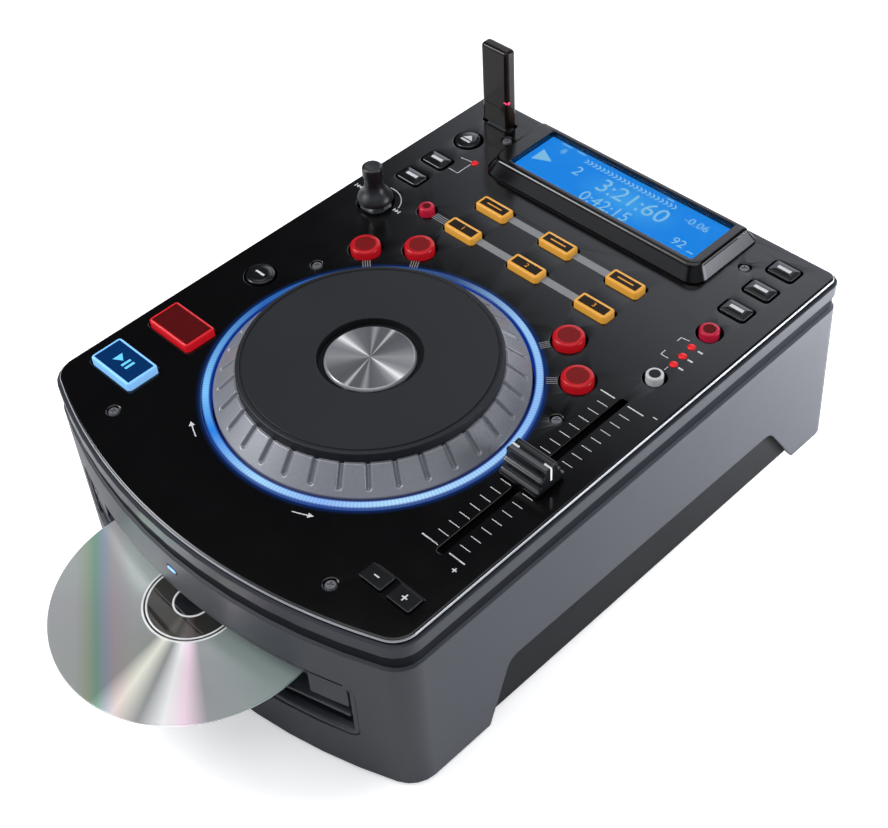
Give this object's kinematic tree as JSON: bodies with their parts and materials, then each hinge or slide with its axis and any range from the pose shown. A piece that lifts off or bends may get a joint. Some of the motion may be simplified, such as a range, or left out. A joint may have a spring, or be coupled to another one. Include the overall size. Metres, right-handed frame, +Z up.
{
  "type": "tabletop dj cd player",
  "caption": "Tabletop disc player for a DJ with a turning jog wheel, sprung buttons, a pitch fader, a lit display, a slot-loading drive and an upright memory stick.",
  "frame": {"origin": "centre of the bounding box's base, on the surface that the feet stand on", "axes": "+X to the user's right, +Y towards the back of the player, +Z up; the control panel slopes up towards the back by 1.2 degrees"},
  "size_m": [0.2202, 0.3642, 0.148],
  "materials": {
    "grey_abs": "satin moulded grey",
    "panel_black": "gloss black",
    "dark_abs": "satin black",
    "rubber": "matte",
    "black_steel": "satin black paint",
    "zinc_steel": "zinc plated",
    "clear_acrylic": "polished clear",
    "lcd_blue": "back-lit blue",
    "light_guide": "lit blue light guide",
    "board": "solder mask",
    "wheel_silver": "silver paint",
    "wheel_pad": "soft touch",
    "spun_aluminium": "spun",
    "red_clear": "lit translucent red",
    "blue_clear": "lit translucent blue",
    "orange_clear": "lit translucent orange",
    "white_clear": "lit translucent white",
    "stick_black": "gloss black",
    "disc_silver": "metallised polycarbonate"
  },
  "bodies": {
    "case": {"housing": "grey_abs", "case_frame": "grey_abs", "top_panel": "panel_black", "base_tray": "dark_abs", "foot_front_left": "rubber", "foot_front_right": "rubber", "foot_back_left": "rubber", "foot_back_right": "rubber", "rear_plate": "black_steel", "display_bezel": "panel_black", "display_window": "clear_acrylic", "lcd_module": "lcd_blue", "jog_light_ring": "light_guide", "jog_hub": "dark_abs", "control_board": "board", "main_board": "board", "fader_body": "zinc_steel", "encoder_body": "zinc_steel", "usb_socket": "zinc_steel", "drive_chassis": "zinc_steel", "power_inlet": "dark_abs", "audio_jacks": "dark_abs", "usb_b_port": "zinc_steel"},
    "jog": {"jog_wheel": "wheel_silver", "jog_top_pad": "wheel_pad", "jog_center_cap": "spun_aluminium"},
    "cue_key": {"cue_button": "red_clear"},
    "play_pause_key": {"play_pause_button": "blue_clear"},
    "tap_key": {"tap_button": "dark_abs"},
    "eject_key": {"eject_button": "dark_abs"},
    "source_key": {"source_button": "dark_abs"},
    "folder_key": {"folder_button": "dark_abs"},
    "record_key": {"record_button": "red_clear"},
    "mode_key_1": {"mode_button_1": "red_clear"},
    "mode_key_2": {"mode_button_2": "red_clear"},
    "mode_key_3": {"mode_button_3": "red_clear"},
    "mode_key_4": {"mode_button_4": "red_clear"},
    "loop_in_key": {"loop_in_button": "orange_clear"},
    "loop_out_key": {"loop_out_button": "orange_clear"},
    "reloop_key": {"reloop_button": "orange_clear"},
    "hot_cue_key_1": {"hot_cue_button_1": "orange_clear"},
    "hot_cue_key_2": {"hot_cue_button_2": "orange_clear"},
    "hot_cue_key_3": {"hot_cue_button_3": "orange_clear"},
    "time_key": {"time_button": "dark_abs"},
    "single_key": {"single_button": "dark_abs"},
    "program_key": {"program_button": "dark_abs"},
    "master_tempo_key": {"master_tempo_button": "red_clear"},
    "pitch_range_key": {"pitch_range_button": "white_clear"},
    "bend_minus_key": {"bend_minus_button": "dark_abs"},
    "bend_plus_key": {"bend_plus_button": "dark_abs"},
    "fader": {"fader_lever": "zinc_steel", "fader_cap": "dark_abs"},
    "encoder_slider": {"encoder_plunger": "dark_abs"},
    "knob": {"track_knob": "dark_abs"},
    "stick": {"usb_stick": "stick_black"},
    "loaded_disc": {"disc": "disc_silver"},
    "roller": {"loading_roller": "rubber"},
    "spindle": {"turntable": "dark_abs"},
    "pickup": {"pickup_sled": "dark_abs"},
    "rocker": {"power_rocker": "dark_abs"}
  },
  "joints": [
    {"name": "jog_turn", "type": "hinge", "parent": "case", "child": "jog", "pos_m": [0, -0.01472, 0.0994], "axis": [0, -0.0209, 0.9998], "continuous": true},
    {"name": "cue_press", "type": "slide", "parent": "case", "child": "cue_key", "axis": [0, -0.0209, 0.9998], "range_m": [-0.001, 0], "stiffness_N_per_m": 400, "springref_m": 0.0005},
    {"name": "play_pause_press", "type": "slide", "parent": "case", "child": "play_pause_key", "axis": [0, -0.0209, 0.9998], "range_m": [-0.001, 0], "stiffness_N_per_m": 400, "springref_m": 0.0005},
    {"name": "tap_press", "type": "slide", "parent": "case", "child": "tap_key", "axis": [0, -0.0209, 0.9998], "range_m": [-0.001, 0], "stiffness_N_per_m": 350, "springref_m": 0.0005},
    {"name": "eject_press", "type": "slide", "parent": "case", "child": "eject_key", "axis": [0, -0.0209, 0.9998], "range_m": [-0.001, 0], "stiffness_N_per_m": 350, "springref_m": 0.0005},
    {"name": "source_press", "type": "slide", "parent": "case", "child": "source_key", "axis": [0, -0.0209, 0.9998], "range_m": [-0.001, 0], "stiffness_N_per_m": 350, "springref_m": 0.0005},
    {"name": "folder_press", "type": "slide", "parent": "case", "child": "folder_key", "axis": [0, -0.0209, 0.9998], "range_m": [-0.001, 0], "stiffness_N_per_m": 350, "springref_m": 0.0005},
    {"name": "record_press", "type": "slide", "parent": "case", "child": "record_key", "axis": [0, -0.0209, 0.9998], "range_m": [-0.001, 0], "stiffness_N_per_m": 350, "springref_m": 0.0005},
    {"name": "mode_press_1", "type": "slide", "parent": "case", "child": "mode_key_1", "axis": [0, -0.0209, 0.9998], "range_m": [-0.001, 0], "stiffness_N_per_m": 350, "springref_m": 0.0005},
    {"name": "mode_press_2", "type": "slide", "parent": "case", "child": "mode_key_2", "axis": [0, -0.0209, 0.9998], "range_m": [-0.001, 0], "stiffness_N_per_m": 350, "springref_m": 0.0005},
    {"name": "mode_press_3", "type": "slide", "parent": "case", "child": "mode_key_3", "axis": [0, -0.0209, 0.9998], "range_m": [-0.001, 0], "stiffness_N_per_m": 350, "springref_m": 0.0005},
    {"name": "mode_press_4", "type": "slide", "parent": "case", "child": "mode_key_4", "axis": [0, -0.0209, 0.9998], "range_m": [-0.001, 0], "stiffness_N_per_m": 350, "springref_m": 0.0005},
    {"name": "loop_in_press", "type": "slide", "parent": "case", "child": "loop_in_key", "axis": [0, -0.0209, 0.9998], "range_m": [-0.001, 0], "stiffness_N_per_m": 350, "springref_m": 0.0005},
    {"name": "loop_out_press", "type": "slide", "parent": "case", "child": "loop_out_key", "axis": [0, -0.0209, 0.9998], "range_m": [-0.001, 0], "stiffness_N_per_m": 350, "springref_m": 0.0005},
    {"name": "reloop_press", "type": "slide", "parent": "case", "child": "reloop_key", "axis": [0, -0.0209, 0.9998], "range_m": [-0.001, 0], "stiffness_N_per_m": 350, "springref_m": 0.0005},
    {"name": "hot_cue_press_1", "type": "slide", "parent": "case", "child": "hot_cue_key_1", "axis": [0, -0.0209, 0.9998], "range_m": [-0.001, 0], "stiffness_N_per_m": 350, "springref_m": 0.0005},
    {"name": "hot_cue_press_2", "type": "slide", "parent": "case", "child": "hot_cue_key_2", "axis": [0, -0.0209, 0.9998], "range_m": [-0.001, 0], "stiffness_N_per_m": 350, "springref_m": 0.0005},
    {"name": "hot_cue_press_3", "type": "slide", "parent": "case", "child": "hot_cue_key_3", "axis": [0, -0.0209, 0.9998], "range_m": [-0.001, 0], "stiffness_N_per_m": 350, "springref_m": 0.0005},
    {"name": "time_press", "type": "slide", "parent": "case", "child": "time_key", "axis": [0, -0.0209, 0.9998], "range_m": [-0.001, 0], "stiffness_N_per_m": 350, "springref_m": 0.0005},
    {"name": "single_press", "type": "slide", "parent": "case", "child": "single_key", "axis": [0, -0.0209, 0.9998], "range_m": [-0.001, 0], "stiffness_N_per_m": 350, "springref_m": 0.0005},
    {"name": "program_press", "type": "slide", "parent": "case", "child": "program_key", "axis": [0, -0.0209, 0.9998], "range_m": [-0.001, 0], "stiffness_N_per_m": 350, "springref_m": 0.0005},
    {"name": "master_tempo_press", "type": "slide", "parent": "case", "child": "master_tempo_key", "axis": [0, -0.0209, 0.9998], "range_m": [-0.001, 0], "stiffness_N_per_m": 350, "springref_m": 0.0005},
    {"name": "pitch_range_press", "type": "slide", "parent": "case", "child": "pitch_range_key", "axis": [0, -0.0209, 0.9998], "range_m": [-0.001, 0], "stiffness_N_per_m": 350, "springref_m": 0.0005},
    {"name": "bend_minus_press", "type": "slide", "parent": "case", "child": "bend_minus_key", "axis": [0, -0.0209, 0.9998], "range_m": [-0.001, 0], "stiffness_N_per_m": 350, "springref_m": 0.0005},
    {"name": "bend_plus_press", "type": "slide", "parent": "case", "child": "bend_plus_key", "axis": [0, -0.0209, 0.9998], "range_m": [-0.001, 0], "stiffness_N_per_m": 350, "springref_m": 0.0005},
    {"name": "fader_slide", "type": "slide", "parent": "case", "child": "fader", "axis": [0, 0.9998, 0.0209], "range_m": [-0.0476, 0.0524]},
    {"name": "encoder_press", "type": "slide", "parent": "case", "child": "encoder_slider", "axis": [0, -0.0209, 0.9998], "range_m": [-0.0005, 0], "stiffness_N_per_m": 500, "springref_m": 0.0004},
    {"name": "knob_turn", "type": "hinge", "parent": "encoder_slider", "child": "knob", "pos_m": [-0.087, 0.06976, 0.10117], "axis": [0, -0.0209, 0.9998], "continuous": true},
    {"name": "stick_pull", "type": "slide", "parent": "case", "child": "stick", "axis": [0, -0.0209, 0.9998], "range_m": [0, 0.012]},
    {"name": "disc_slide", "type": "slide", "parent": "case", "child": "loaded_disc", "axis": [0, 0.9998, 0.0209], "range_m": [-0.055, 0.085]},
    {"name": "roller_turn", "type": "hinge", "parent": "case", "child": "roller", "pos_m": [0, -0.09154, 0.04228], "axis": [-1, 0, 0], "continuous": true},
    {"name": "spindle_turn", "type": "hinge", "parent": "case", "child": "spindle", "pos_m": [0, -0.03821, 0.09891], "axis": [0, -0.0209, 0.9998], "continuous": true},
    {"name": "pickup_slide", "type": "slide", "parent": "case", "child": "pickup", "axis": [0, 0.9998, 0.0209], "range_m": [0, 0.036]},
    {"name": "rocker_tilt", "type": "hinge", "parent": "case", "child": "rocker", "pos_m": [0.03, 0.16899, 0.05075], "axis": [-1, 0, 0], "range_deg": [-14, 0]}
  ],
  "couplings": [
    {"joint": "roller_turn", "follows": "disc_slide", "rad_per_m": 217.39}
  ]
}
